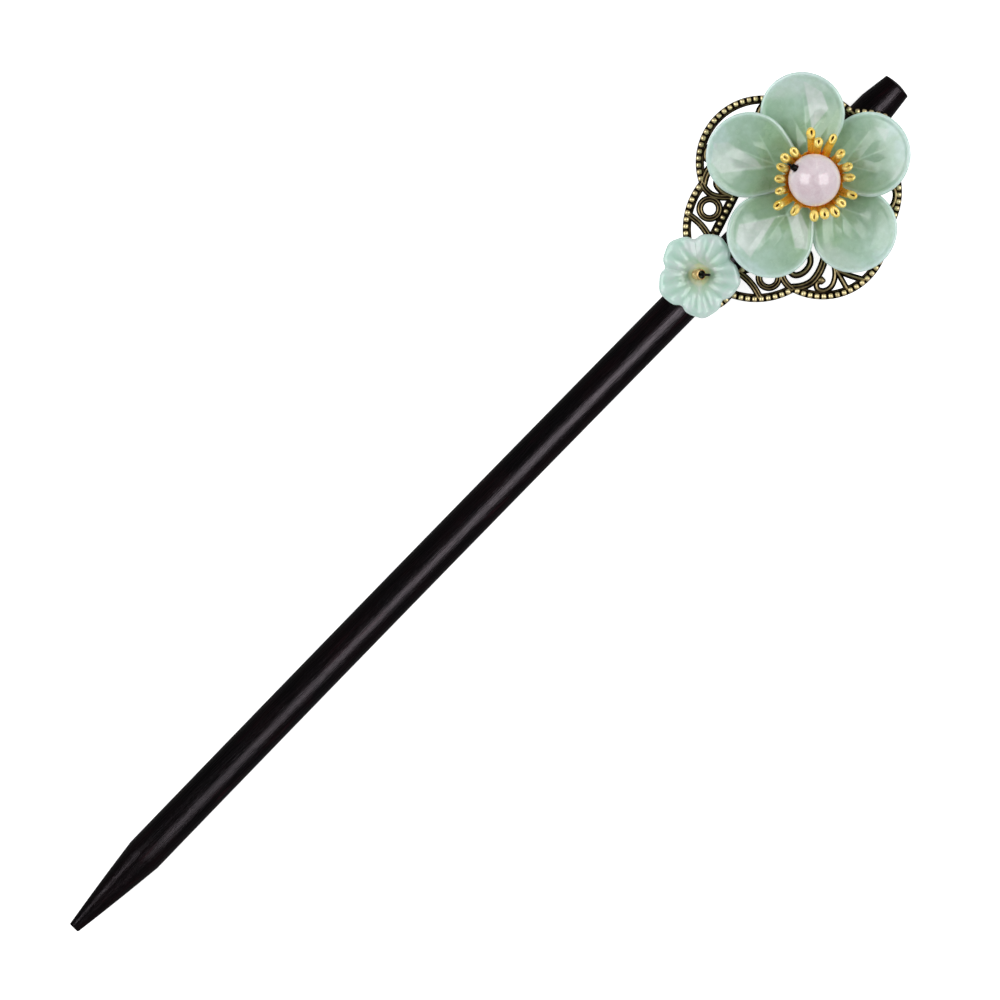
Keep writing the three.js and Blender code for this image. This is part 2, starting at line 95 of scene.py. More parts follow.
# Painted reflections as pale panes: strength, softness of the border, and corners as (outwards, leftwards).
PAINTED_REFLECTION_PANES = {
    "petal_1": [(0.55, 0.35, [(7.5, 1.2), (9.2, 0.35), (14.3, -0.6), (16.2, 0.4), (15.4, 3.2),
                              (13.4, 4.2)])],
    "petal_2": [(0.85, 0.30, [(7.6, -1.0), (10.5, -4.0), (13.2, -3.4), (15.3, -0.7)]),
                (0.40, 2.0, [(13.2, -5.0), (17.5, -3.0), (17.5, 3.0), (13.0, 5.0)])],
    "petal_3": [(0.50, 0.40, [(12.0, 3.6), (12.6, 1.0), (13.9, 2.4)]),
                (0.35, 1.6, [(12.0, -6.5), (15.5, -5.0), (15.0, -2.5), (11.5, -4.0)])],
    "petal_4": [(0.38, 1.6, [(8.5, -6.6), (14.5, -6.6), (16.5, -3.0), (14.5, -2.6), (9.0, -4.2)])],
    "petal_5": [(0.65, 0.35, [(5.2, 1.7), (6.8, 0.5), (10.0, 4.2), (9.2, 5.9), (6.6, 4.2)]),
                (0.75, 0.35, [(8.0, -1.0), (12.2, -4.8), (14.6, -3.6), (15.3, -0.4)])],
}
# A petal's thickness in the middle and at the edge, its cupping and the root's share of it, its breadth to
# its length, the depth of a crease above and below, the lip along the rim and the channel within it.
PETAL = {"middle": 1.15, "edge": 0.85, "cup": 1.6, "root_cup": 0.3, "breadth": 1.03, "fold_above": 0.40,
         "fold_below": 0.28, "lip": 0.09, "channel": 0.05}
# The washer, then the filaments: height of their roots, widths at both ends, size of the heads, the rise of
# a filament of the short reach, and how much lower a longer one ends for each millimetre more.
STAMENS = {"thickness": 0.35, "hole": 2.85, "radius": 3.75, "wire": 0.42, "base": 1.4725, "neck": 1.235,
           "head": 1.42, "rise": 2.9, "short": 5.4, "droop": 0.35}
# The fluted cup inside the stamens: its radii and its rise, and how much the flutes add to both.
CUP = {"inner": 3.5, "spread": 0.8, "flute": 0.2, "foot": 0.18, "rise": 0.45, "flute_rise": 0.35,
       "half": 0.09}
# Bearing of each stamen and how far out its head stands.
STAMEN_HEADS = [
    (48.6, 7.3), (38, 5.9), (20, 7.0), (-0.5, 5.8), (-24, 5.6), (-41.6, 5.5),
    (-67.3, 6.3), (-86, 5.5), (-102.7, 5.9), (-119, 5.5), (-136, 5.6), (-168, 5.6),
    (169.6, 6.8), (152, 5.6), (132.3, 5.4), (113, 5.4), (97, 5.7), (80, 5.4),
]
# The bore of the centre bead points to a bearing and rises. Its wire hugs the bead, then dives to the plate.
BEAD = {"radius": 4.0, "bore": 0.6, "chamfer": 0.12, "bearing": 102.8, "rise": 30}
BEAD_WIRE = {"radius": 0.2, "hug": 4.32, "dive": 1.2, "bend": 5.0}
SLEEVE = {"inner": 0.28, "outer": 0.5, "from": 2.9, "to": 4.6}
# A petal's wire stands in two legs, and bends over the root at a height above the petal's base.
PETAL_WIRE = {"radius": 0.15, "inner_leg": 1.75, "tail": 1.2, "over": 1.7, "bend": 0.35}
WIRE_RUN = 3.1  # height at which all wires run under the plate
# The small flower: half the width of its five-sided outline, the rounding of its points, the nick between
# them, and the depths of its flutes and of the valleys between its lobes.
SMALL = {"bearing": 15, "side": 5.95, "rounding": 0.25, "nick": 0.55, "tip": 6.1, "flute": 0.08,
         "valley": 0.16}
SMALL_PROFILE = [(0.6, 0), (1.2, 0), (1.6, 0.55), (2.6, 0.75), (4.6, 1.1), (6.1, 1.45), (5.8, 1.95),
                 (4.6, 2.1), (3.0, 1.9), (2.0, 1.5), (1.3, 1.1), (0.6, 1.0)]
SEED_BEAD = {"radius": 0.9, "hole": 0.5, "length": 1.6, "height": 2.65, "bearing": -48, "rise": 55}
SMALL_WIRE = {"radius": 0.2, "leg": 0.27, "tail": 1.6}
LASHING = {"radius": 0.2, "pitch": 0.46, "turns": 3, "side": 3.35, "gap": 0.1}
LASHING_STARTS = {"lashing_shank": 134.85, "lashing_head": 168.9}

# Outline of half the plate in its own (u, v): foot, then each lobe's end and how far the lobe bulges.
FOOT = (-13.6, 0.0)
LOBES = [((-7.7, 5.6), 2.2), ((0.0, 11.1), 1.0), ((17.3, 13.6), 4.9), ((25.2, 4.3), 1.9),
         ((28.8, 0.0), 0.35)]
# Scrollwork of half the plate: the points of each rib and its width. Ribs are mirrored, except the
# ones that have a third entry, the only side they are on.
SCROLLS = [
    ([(-4.3, 3.2), (-4.0, 5.0), (-4.0, 6.5), (-4.4, 8.6)], 1.1),
    ([(-7.8, 5.2), (-5.8, 3.6), (-3.6, 3.2)], 1.0),
    ([(0.3, 10.8), (0.1, 9.5), (0.3, 8.3), (1.2, 7.1), (2.8, 5.8)], 1.1),
    ([(0.3, 10.4), (1.7, 11.3), (3.3, 11.7), (5.1, 11.3), (6.8, 10.4), (8.6, 8.9), (9.6, 6.6)], 1.3),
    ([(2.5, 6.0), (1.8, 7.6), (1.9, 9.2), (3.3, 9.8), (5.0, 9.3), (5.8, 7.8), (4.9, 6.4)], 1.0),
    ([(8.1, 10.0), (7.3, 12.3), (6.2, 13.6), (4.9, 14.2), (3.7, 13.9), (3.2, 13.1), (3.6, 12.4),
      (4.5, 12.5)], 0.9),
    ([(7.3, 12.6), (6.6, 16.2)], 0.9, -1),
    ([(7.3, 12.7), (8.2, 14.6), (9.6, 16.8)], 0.95, -1),
    ([(7.6, 12.2), (10.2, 13.9), (12.6, 16.0)], 0.95, -1),
    ([(8.6, 9.8), (11.6, 11.6), (14.2, 11.2), (15.2, 9.2), (13.8, 7.4), (12.1, 8.6)], 1.1),
    ([(11.8, 11.4), (14.6, 13.6), (17.2, 13.2)], 1.0),
    ([(17.2, 13.2), (17.6, 10.2), (16.6, 6.6)], 1.1),
    ([(17.5, 9.6), (19.8, 11.0), (22.0, 9.4), (21.4, 6.9), (19.2, 6.8), (18.9, 8.6)], 1.0),
    ([(24.6, 5.0), (25.2, 2.6), (27.6, 1.0)], 1.0),
]
CURLED = 5  # the scroll whose end is rolled into a knob
CURL_KNOB = {"size": (0.58, 0.58, 0.46), "height": 0.30}
BEADED_STRIP = {"line": [(-3.6, 3.4), (3.2, 6.2)], "width": 1.5, "thinning": 0.62}
RINGLET = {"u": -1.35, "v": 6.95, "outer": 1.9, "inner": 1.1}
SPINE = {"from": -13.0, "to": 28.0, "width": 2.0}
HUB = {"radius": 4.9, "opening": 2.15}
SMALL_HUB = {"radius": 1.9, "opening": 0.6}
# Cross-sections as (offset, height): the rim, inwards from its edge, and a flat band one unit wide.
RIM = [(0, 0), (0, 0.26), (-0.05, 0.34), (-0.90, 0.34), (-0.98, 0.46), (-1.08, 0.50), (-1.18, 0.46),
       (-1.3, 0.34), (-1.3, 0)]
BAND = [(-0.5, 0), (-0.5, 0.55), (-0.42, 0.62), (0.42, 0.62), (0.5, 0.55), (0.5, 0)]
# The rows of small beads: their spacing, how far within the line they lie and how high, the size of one
# along, across and up, and the steps round it and down it.
RIM_BEADS = {"spacing": 1.1, "inset": 0.46, "height": 0.42, "size": (0.42, 0.46, 0.42), "steps": (12, 7)}
STRIP_BEADS = {"spacing": 1.03, "inset": 0, "height": 0.42, "size": (0.36, 0.42, 0.36), "steps": (10, 6)}


# -------- small maths

def polar(bearing, distance):
    angle = math.radians(bearing)
    return np.array([distance * math.cos(angle), distance * math.sin(angle)])


def unit(v):
    return v / np.linalg.norm(v)


def units(rows):
    return rows / np.linalg.norm(rows, axis=1)[:, None]


def around(count, start=0.0):
    """Angles evenly spaced round a full turn."""
    return np.linspace(start, start + 2 * math.pi, count, endpoint=False)


def squared(v, power=0.75):
    """Keeps the sign of v and draws it towards 1, which squares off a circle."""
    return math.copysign(abs(v) ** power, v)


def smoothstep(x):
    x = np.clip(x, 0.0, 1.0)
    return x * x * (3 - 2 * x)


def mix(t, ta, tb, a, b):
    """The point at t on the line that is at a when t is ta, and at b when t is tb."""
    return (tb - t) / (tb - ta) * a + (t - ta) / (tb - ta) * b


def through(points, per_span):
    """Points along the centripetal Catmull-Rom curve through the given points."""
    p = np.array(points, float)
    p = np.vstack([2 * p[0] - p[1], p, 2 * p[-1] - p[-2]])
    out = []
    for i in range(1, len(p) - 2):
        p0, p1, p2, p3 = p[i - 1:i + 3]
        t0 = 0.0
        t1 = np.linalg.norm(p1 - p0) ** 0.5
        t2 = t1 + np.linalg.norm(p2 - p1) ** 0.5
        t3 = t2 + np.linalg.norm(p3 - p2) ** 0.5
        for t in np.linspace(t1, t2, per_span, endpoint=False):
            a1, a2, a3 = mix(t, t0, t1, p0, p1), mix(t, t1, t2, p1, p2), mix(t, t2, t3, p2, p3)
            b1, b2 = mix(t, t0, t2, a1, a2), mix(t, t1, t3, a2, a3)
            out.append(mix(t, t1, t2, b1, b2))
    out.append(p[-2])
    return np.array(out)


def evenly(line, spacing, closed):
    """Points at an even spacing along a line, with the unit direction at each."""
    line = np.array(line, float)
    if closed:
        line = np.vstack([line, line[:1]])
    lengths = np.concatenate([[0], np.cumsum(np.linalg.norm(np.diff(line, axis=0), axis=1))])
    count = max(2, int(round(lengths[-1] / spacing)))
    at = np.linspace(0, lengths[-1], count + 1)
    if closed:
        at = at[:-1]

    def sample(s):
        return np.stack([np.interp(s, lengths, line[:, k]) for k in range(line.shape[1])], 1)

    step = spacing * 0.05
    return sample(at), units(sample(np.minimum(at + step, lengths[-1])) - sample(np.maximum(at - step, 0)))


def moved(x, y, z):
    return Matrix.Translation((x, y, z))


def turned(degrees, axis):
    return Matrix.Rotation(math.radians(degrees), 4, axis)


# -------- mesh building

class Shape:
    """Vertices and faces of one piece, gathered from several closed forms, with four marks a vertex."""

    def __init__(self):
        self.verts = []
        self.faces = []
        self.marks = []

    def add(self, verts, faces, marks=None):
        start = len(self.verts)
        self.verts.extend(np.asarray(verts, float).tolist())
        self.faces.extend([tuple(start + i for i in face) for face in faces])
        marks = np.zeros((len(verts), 4)) if marks is None else np.asarray(marks)
        self.marks.extend(marks.tolist())

    def place(self, matrix):
        """Moves all that has been added so far."""
        v = np.c_[np.array(self.verts), np.ones(len(self.verts))] @ np.array(matrix).T
        self.verts = v[:, :3].tolist()


def loft(rings, closed_along=False):
    """Faces joining closed rings of equal length. The last ring joins the first, or both ends are capped."""
    rings = np.array(rings, float)
    rows, cols, _ = rings.shape
    faces = []
    for r in range(rows if closed_along else rows - 1):
        row = r * cols
        below = ((r + 1) % rows) * cols
        for c in range(cols):
            after = (c + 1) % cols
            faces.append((row + c, row + after, below + after, below + c))
    if not closed_along:
        faces.append(tuple(range(cols))[::-1])
        faces.append(tuple((rows - 1) * cols + c for c in range(cols)))
    return rings.reshape(-1, 3), faces


def eased(inner, outer, low, high, ease, bore_ease):
    """The section of a ring, its outer edges eased all round and its bore's edges in height by their own."""
    return [(inner, low + bore_ease), (inner + ease, low), (outer - ease, low), (outer, low + ease),
            (outer, high - ease), (outer - ease, high), (inner + ease, high), (inner, high - bore_ease)]


def lathe(profile, segments, loop=True):
    """A surface of revolution about Z from (radius, height) points: a closed loop, or from axis to axis."""
    rings = [[(r * math.cos(a), r * math.sin(a), z) for a in around(segments)] for r, z in profile]
    shape = Shape()
    shape.add(*loft(rings, closed_along=loop))
    return shape


def placed(name, data):
    made = bpy.data.objects.new(name, data)
    bpy.context.scene.collection.objects.link(made)
    return made


def piece(name, shape, body, slot, *nodes, look=None, layers=()):
    """Makes the Blender object, rides it on its body and lets it stand for its CAD nodes. It has its slot's
    look, or another. Each layer is a UV map that carries two of the shape's marks."""
    mesh = bpy.data.meshes.new(name)
    mesh.from_pydata((np.array(shape.verts) * MM).tolist(), [], shape.faces)
    mesh.validate()
    corner_verts = np.zeros(len(mesh.loops), dtype=np.int32)
    mesh.loops.foreach_get("vertex_index", corner_verts)
    for i, layer_name in enumerate(layers):
        marks = np.array(shape.marks, np.float32)[corner_verts, 2 * i:2 * i + 2]
        mesh.uv_layers.new(name=layer_name).data.foreach_set("uv", marks.ravel())
    mesh.polygons.foreach_set("use_smooth", [True] * len(mesh.polygons))
    mesh.materials.append(LOOKS[look or slot])
    made = placed(name, mesh)
    outward(made)
    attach(made, body)
    if nodes:
        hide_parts(*nodes)
    return made


def outward(made):
    """Turns every face of a closed mesh outwards."""
    work = bmesh.new()
    work.from_mesh(made.data)
    bmesh.ops.recalc_face_normals(work, faces=work.faces)
    work.to_mesh(made.data)
    work.free()


# How far out each ring of a wire's domed end lies, and its width, for a radius of one.
DOME = [(1.0, 0.12), (0.8, 0.6), (0.42, 0.91)]


def wire(name, points, per_span, radius, sides, slot, node):
    """A piece of round wire bent through the points, with domed ends."""
    path = through(points, per_span)
    tangents = units(np.gradient(path, axis=0))
    side = unit(np.cross(tangents[0], [0, 0, 1] if abs(tangents[0][2]) < 0.9 else [1, 0, 0]))
    frames = []
    for t in tangents:
        side = unit(side - t * np.dot(side, t))
        frames.append((side, np.cross(side, t)))

    def ring(i, shift, scale):
        s, n = frames[i]
        r = radius * scale
        centre = path[i] + tangents[i] * shift
        return [centre + s * math.cos(a) * r + n * math.sin(a) * r for a in around(sides)]

    rings = [ring(0, -shift * radius, scale) for shift, scale in DOME]
    rings += [ring(i, 0, 1) for i in range(len(path))]
    rings += [ring(-1, shift * radius, scale) for shift, scale in reversed(DOME)]
    shape = Shape()
    shape.add(*loft(rings))
    piece(name, shape, "pin", slot, node)


# -------- materials

def grey(level):
    return level, level, level


class Nodes:
    """A Principled material with short ways to add the procedural nodes that it uses."""

    def __init__(self, name, **values):
        self.material = bpy.data.materials.new(name)
        self.material.use_nodes = True
        self.tree = self.material.node_tree
        self.shader = self.tree.nodes["Principled BSDF"]
        for socket, value in values.items():
            self.to(socket.replace("_", " "), value)
        self.object_point = self.add("TexCoord", {}, "Object")

    def feed(self, target, value):
        """Links a socket to another node's output, or sets it to a value."""
        if isinstance(value, bpy.types.NodeSocket):
            self.tree.links.new(value, target)
        else:
            target.default_value = value

    def to(self, socket, value):
        self.feed(self.shader.inputs[socket], value)

    def add(self, kind, sockets, output, **settings):
        """Adds a node with its settings, feeds its sockets and gives one of its outputs."""
        node = self.tree.nodes.new("ShaderNode" + kind)
        for setting, value in settings.items():
            setattr(node, setting, value)
        for socket, value in sockets.items():
            self.feed(node.inputs[socket], value)
        return node.outputs[output]

    def noise(self, size, detail=4.0, roughness=0.55, distortion=0.0):
        """Noise whose features are about the given size in millimetres, or one size for each axis."""
        point = self.object_point
        if isinstance(size, tuple):
            factors = [1 / (s * MM) for s in size]
            point, scale = self.add("Mapping", {"Vector": point, "Scale": factors}, "Vector"), 1.0
        else:
            scale = 1 / (size * MM)
        sockets = {"Vector": point, "Scale": scale, "Detail": detail, "Roughness": roughness,
                   "Distortion": distortion}
        return self.add("TexNoise", sockets, "Fac")

    def ramp(self, source, stops):
        colour = self.add("ValToRGB", {"Fac": source}, "Color")
        ramp = colour.node.color_ramp
        ramp.interpolation = "EASE"
        while len(ramp.elements) < len(stops):
            ramp.elements.new(0.5)
        for element, (at, tone) in zip(ramp.elements, stops):
            element.position = at
            element.color = (*tone, 1.0)
        return colour

    def span(self, source, low, high, to_low=0.0, to_high=1.0):
        sockets = {"Value": source, "From Min": low, "From Max": high, "To Min": to_low, "To Max": to_high}
        return self.add("MapRange", sockets, "Result")

    def spread(self, noise, to_low, to_high):
        """Noise, most of which lies from 0.3 to 0.7, brought to the given range."""
        return self.span(noise, 0.3, 0.7, to_low, to_high)

    def maths(self, operation, a, b):
        return self.add("Math", {0: a, 1: b}, "Value", operation=operation)

    def mixed(self, fac, a, b, blend="MIX"):
        a, b = ((*value, 1.0) if isinstance(value, tuple) else value for value in (a, b))
        return self.add("Mix", {0: fac, 6: a, 7: b}, 2, data_type="RGBA", blend_type=blend)

    def height(self):
        """Height in millimetres of the shaded point."""
        return self.maths("MULTIPLY", self.add("SeparateXYZ", {"Vector": self.object_point}, "Z"), 1 / MM)

    def uv(self, name):
        """The two marks of a layer, as piece() stores them."""
        both = self.add("UVMap", {}, "UV", uv_map=name)
        return [self.add("SeparateXYZ", {"Vector": both}, axis) for axis in "XY"]

    def finished(self, colour, roughness, relief=None, depth=0.0):
        """The material with its colour, roughness and a relief of the given depth in millimetres."""
        self.to("Base Color", colour)
        self.to("Roughness", roughness)
        if relief:
            sockets = {"Height": relief, "Distance": depth * MM, "Strength": 1.0}
            self.to("Normal", self.add("Bump", sockets, "Normal"))
        return self.material


def wood_look():
    """Near-black stained wood with a purple-brown cast, lengthwise grain and a soft polish."""
    n = Nodes("dark_wood", Specular_IOR_Level=0.20)
    grain = n.noise((14, 0.5, 0.5), detail=6, roughness=0.65, distortion=0.4)
    fine = n.noise((3.2, 0.16, 0.16), roughness=0.6)
    cloud = n.noise(5)
    tone = n.ramp(grain, [(0.34, (0.0005, 0.0002, 0.0004)), (0.56, (0.0014, 0.0004, 0.0008)),
                          (0.74, (0.009, 0.0016, 0.0034))])
    warm = n.ramp(cloud, [(0.35, (0.5, 0.6, 0.8)), (0.65, (1.7, 1.0, 1.1))])
    colour = n.mixed(1.0, tone, warm, "MULTIPLY")
    return n.finished(colour, n.spread(fine, 0.18, 0.36), n.maths("ADD", grain, fine), 0.03)


def antique_look(name, bottom, dark_until, bright_from, pale, metallic=1.0):
    """Antiqued brass: dark in what lies low, as oxide in the hollows and as painted shade, and rubbed pale
    on what stands high.
    """
    n = Nodes(name, Metallic=metallic)
    patches = n.noise(1.4, detail=5, roughness=0.6)
    # By height: dark low down, as oxide and painted shade, pale on the rubbed high spots.
    lift = n.span(n.height(), bottom + dark_until, bottom + bright_from)
    height_shade_and_wear = n.maths("ADD", lift, n.spread(patches, -0.25, 0.25))
    colour = n.ramp(height_shade_and_wear, [(0.10, (0.012, 0.009, 0.006)), (0.45, (0.10, 0.070, 0.035)),
                           (0.72, (0.36, 0.28, 0.14)), (0.95, pale)])
    return n.finished(colour, n.span(height_shade_and_wear, 0.1, 0.9, 0.62, 0.30), n.noise(0.22), 0.015)


def gilt_wire_look():
    """Gilt wire, browner in patches."""
    n = Nodes("gilt_wire", Metallic=0.6)
    patches = n.noise(0.9, detail=2)
    colour = n.ramp(patches, [(0.38, (0.80, 0.42, 0.08)), (0.60, (0.95, 0.62, 0.20))])
    return n.finished(colour, n.spread(patches, 0.35, 0.19), n.noise(0.3, detail=2), 0.004)


def stamen_look(bottom):
    """Gilt, orange on the filaments, with painted shade that makes it red-brown low down and dark in the
    heads' eyes, and painted light that makes the heads pale gold.
    """
    n = Nodes("gilt_stamens_painted_light_and_shade", Metallic=0.28, Coat_Weight=0.35, Coat_Roughness=0.08, Subsurface_Weight=0.3,
              Subsurface_Scale=0.0010, Subsurface_Radius=(1.0, 0.6, 0.2))
    eye, _ = n.uv("eye")
    patches = n.noise(1.1)
    # The colour by height is painted light and shade: dark red-brown where the crown lies low, pale gold on
    # the raised heads.
    height = n.span(n.height(), bottom + 0.3, bottom + 3.6)
    lift = n.maths("ADD", height, n.spread(patches, -0.22, 0.32))
    gold = n.ramp(lift, [(0.0, (0.70, 0.12, 0.005)), (0.12, (1.0, 0.33, 0.012)), (0.34, (1.0, 0.52, 0.035)),
                         (0.72, (1.0, 0.61, 0.07)), (1.0, (1.0, 0.74, 0.20))])
    # Painted shade darkens the heads' eyes.
    colour = n.mixed(eye, gold, (0.045, 0.014, 0.003))
    return n.finished(colour, n.spread(patches, 0.32, 0.20), patches, 0.02)


def dark_wire_look():
    """Blackened wire with a dull sheen and a little brown where it is rubbed."""
    n = Nodes("blackened_wire", Specular_IOR_Level=0.12)
    rubs = n.noise(0.7, detail=3)
    colour = n.ramp(rubs, [(0.45, (0.003, 0.0025, 0.002)), (0.75, (0.012, 0.008, 0.006))])
    return n.finished(colour, n.spread(rubs, 0.50, 0.38), rubs, 0.006)


def petal_look():
    """Milky jade glass: green at the root, paler and bluer outwards, with pale panes of painted reflection,
    light creases and a pale rim."""
    n = Nodes("petal_glass", Coat_Weight=0.4, Coat_Roughness=0.06, IOR=1.5, Specular_IOR_Level=0.5,
              Subsurface_Weight=0.5, Subsurface_Scale=0.0010, Subsurface_Radius=(0.8, 1.0, 0.85))
    along, milk = n.uv("blade")
    crease, from_rim = n.uv("crease")
    cloud = n.noise(3.2, detail=3)
    streak = n.noise(0.9, roughness=0.6)
    place = n.maths("ADD", along, n.spread(cloud, -0.12, 0.12))
    blade = n.ramp(place, [(0.16, (0.25, 0.385, 0.225)), (0.36, (0.325, 0.505, 0.33)),
                           (0.60, (0.365, 0.54, 0.41)), (0.82, (0.45, 0.63, 0.53)),
                           (0.97, (0.53, 0.69, 0.65))])
    # Painted reflections: pale panes mixed into the glass's colour.
    with_painted_reflections = n.mixed(milk, blade, (0.66, 0.73, 0.71))
    pale = n.mixed(n.span(crease, 0.0, 1.0, 0.0, 0.5), with_painted_reflections, (0.56, 0.76, 0.62))
    edge = n.ramp(n.span(from_rim, 0.0, 2.0), [(0.0, grey(0.55)), (0.12, grey(0.70)), (0.24, grey(0.25)),
                                               (0.45, grey(0.0))])
    body = n.mixed(edge, pale, (0.66, 0.80, 0.78))
    milky = n.ramp(streak, [(0.35, (0.94, 0.96, 0.94)), (0.70, (1.06, 1.04, 1.05))])
    colour = n.mixed(1.0, body, milky, "MULTIPLY")
    return n.finished(colour, n.spread(cloud, 0.30, 0.20), n.noise(0.8, detail=2), 0.010)


def small_glass_look():
    """Paler sea-green pressed glass: a throat painted yellowish as a reflection of the gilt seed bead,
    whitish crests and a few pinkish milky clouds.
    """
    n = Nodes("pressed_glass", Coat_Weight=0.5, Coat_Roughness=0.08, IOR=1.5, Subsurface_Weight=0.6,
              Subsurface_Scale=0.0012, Subsurface_Radius=(0.85, 1.0, 0.9))
    out, crest = n.uv("blade")
    cloud = n.noise(2.4, detail=3)
    milk = n.noise(3.0, roughness=0.6, distortion=0.8)
    place = n.maths("ADD", out, n.spread(cloud, -0.05, 0.05))
    # The yellowish stops near the throat are a painted reflection of the gilt seed bead.
    tone = n.ramp(place, [(0.14, (0.50, 0.58, 0.26)), (0.23, (0.62, 0.68, 0.42)), (0.30, (0.42, 0.61, 0.45)),
                          (0.62, (0.46, 0.665, 0.56)), (1.0, (0.53, 0.72, 0.65))])
    crested = n.mixed(n.maths("MULTIPLY", crest, 0.42), tone, (0.70, 0.82, 0.79))
    colour = n.mixed(n.span(milk, 0.48, 0.66, 0.0, 0.6), crested, (0.68, 0.71, 0.72))
    return n.finished(colour, n.spread(cloud, 0.24, 0.16), n.noise(0.7, detail=2), 0.012)


def seed_look():
    """Gilt seed bead whose hole is painted near-black as shade."""
    n = Nodes("gilt_seed", Metallic=0.5, Coat_Weight=0.5, Coat_Roughness=0.1)
    eye, _ = n.uv("eye")
    patches = n.noise(0.6, detail=3)
    gold = n.ramp(patches, [(0.38, (0.42, 0.22, 0.05)), (0.62, (0.95, 0.70, 0.30))])
    # Painted shade blackens the hole.
    colour = n.mixed(eye, gold, (0.004, 0.003, 0.002))
    return n.finished(colour, n.spread(patches, 0.34, 0.22), patches, 0.012)


def stone_look():
    """Pale pink quartz with faint milky clouds and veins, and a warm sheen towards its rim."""
    n = Nodes("rose_stone", Coat_Weight=0.55, Coat_Roughness=0.05, IOR=1.54, Subsurface_Weight=0.35,
              Subsurface_Scale=0.0015, Subsurface_Radius=(1.0, 0.75, 0.8), Sheen_Weight=1.0,
              Sheen_Roughness=0.3, Sheen_Tint=(1.0, 0.74, 0.58, 1.0))
    cloud = n.noise(2.6, distortion=0.6)
    vein = n.noise(1.2, detail=6, roughness=0.7, distortion=1.2)
    tone = n.ramp(cloud, [(0.32, (0.76, 0.645, 0.685)), (0.55, (0.83, 0.73, 0.765)),
                          (0.75, (0.89, 0.81, 0.83))])
    veins = n.ramp(vein, [(0.44, grey(1.0)), (0.50, (0.94, 0.91, 0.93)), (0.56, grey(1.0))])
    return n.finished(n.mixed(1.0, tone, veins, "MULTIPLY"), n.spread(cloud, 0.20, 0.13))


# The look of each of the record's material slots, and of the plate's rows of beads.
LOOKS = {
    "wood": wood_look(),
    "plate_brass": antique_look("antique_plate", PLATE_BOTTOM, 0.36, 0.86, (0.46, 0.36, 0.19)),
    "beading": antique_look("antique_beading", PLATE_BOTTOM, 0.40, 0.72, (0.87, 0.73, 0.40), 0.7),
    # The lashing wire is darker towards its bottom, under the stick.
    "lashing_wire": antique_look("antique_wire", -6.0, 0.0, 12.0, (0.40, 0.31, 0.17)),
    "dark_wire": dark_wire_look(),
    "gilt": stamen_look(CROWN_BOTTOM),
    "gilt_wire": gilt_wire_look(),
    "gilt_seed": seed_look(),
    "petal_glass": petal_look(),
    "pressed_glass": small_glass_look(),
    "rose_stone": stone_look(),
}


# -------- stick

ARRIS = [math.radians(22.5 * step) for step in range(1, 5)]  # the steps of a rounded edge


def stick():
    """Turned stick: blunt eased point, straight shank, slight taper and rounded arris at the head."""
    s = STICK
    ease, crown, tip, shank, head = s["ease"], s["crown"], s["tip_radius"], s["radius"], s["head_radius"]
    shank_end = s["length"] - s["head_taper"]
    end = s["length"] + s["past"]
    profile = [(0, 0), (tip - ease, 0)]
    profile += [(tip - ease * (1 - math.sin(a)), ease * (1 - math.cos(a))) for a in ARRIS]
    for t in np.linspace(0, 1, 24)[1:]:
        radius = tip + (shank - tip) * (t + s["belly"] * math.sin(math.pi * t))
        profile.append((min(radius, shank), ease + t * (s["tip_taper"] - ease)))
    profile += [(shank, x) for x in np.linspace(s["tip_taper"], shank_end, 40)[1:]]
    for t in np.linspace(0, 1, 9)[1:]:
        profile.append((shank + (head - shank) * t, shank_end + t * (end - crown - ease - shank_end)))
    profile += [(head - ease * (1 - math.cos(a)), end - crown - ease * (1 - math.sin(a))) for a in ARRIS]
    profile += [((head - ease) * t, end - crown * t * t) for t in (0.85, 0.7, 0.5, 0.25, 0)]
    shape = lathe([(max(r, 0.002), x) for r, x in profile], 72, loop=False)
    shape.place(turned(90, "Y"))
    for vert in shape.verts:
        vert[1] += BOW["depth"] * (BOW["share"] - ((vert[0] - BOW["middle"]) / BOW["reach"]) ** 2)
    return piece("stick_turned", shape, "pin", "wood", "stick")


# -------- plate

def arc(a, b, bulge, steps):
    """Points of the circular arc from a to b that stands out to the left by the bulge."""
    a, b = np.array(a, float), np.array(b, float)
    chord = np.linalg.norm(b - a)
    radius = chord * chord / (8 * bulge) + bulge / 2
    left = np.array([-(b - a)[1], (b - a)[0]]) / chord
    centre = (a + b) / 2 + left * (bulge - radius)
    half = math.atan2(chord / 2, radius - bulge)
    middle = math.atan2(left[1], left[0])
    angles = middle + half * (1 - 2 * np.arange(steps + 1) / steps)
    return centre + radius * np.stack([np.cos(angles), np.sin(angles)], 1)


def plate_outline():
    half = [np.array([FOOT])]
    start = FOOT
    for end, bulge in LOBES:
        half.append(arc(start, end, bulge, 40)[1:])
        start = end
    half = np.vstack(half)
    mirrored = half[1:-1][::-1] * [1, -1]
    return np.vstack([half, mirrored])


def strip(shape, line, section, closed=False):
    """A flat strip laid in the plate along a line of (u, v); section is (offset to the left, height)."""
    line = np.array(line, float)
    if closed:
        ahead = units(np.roll(line, -1, axis=0) - np.roll(line, 1, axis=0))
    else:
        ahead = units(np.gradient(line, axis=0))
    left = np.stack([-ahead[:, 1], ahead[:, 0]], 1)
    rings = [[(*(p + l * offset), PLATE_BOTTOM + z) for offset, z in section] for p, l in zip(line, left)]
    shape.add(*loft(rings, closed_along=closed))


def scaled(section, width, rise=1.0):
    return [(offset * width, z * rise) for offset, z in section]


def rib_section(width):
    """A rib with sloping dark shoulders and a raised crest; a wide one has two crests."""
    half = [(-1.0, 0), (-1.0, 0.30), (-0.84, 0.38)]
    if width >= 1.05:
        half += [(-0.62, 0.50), (-0.46, 0.74), (-0.28, 0.70), (-0.12, 0.46)]
    else:
        half += [(-0.56, 0.44), (-0.34, 0.70), (-0.14, 0.80)]
    mirrored = [(-x, z) for x, z in half[::-1]]
    return scaled(half + mirrored, width / 2)


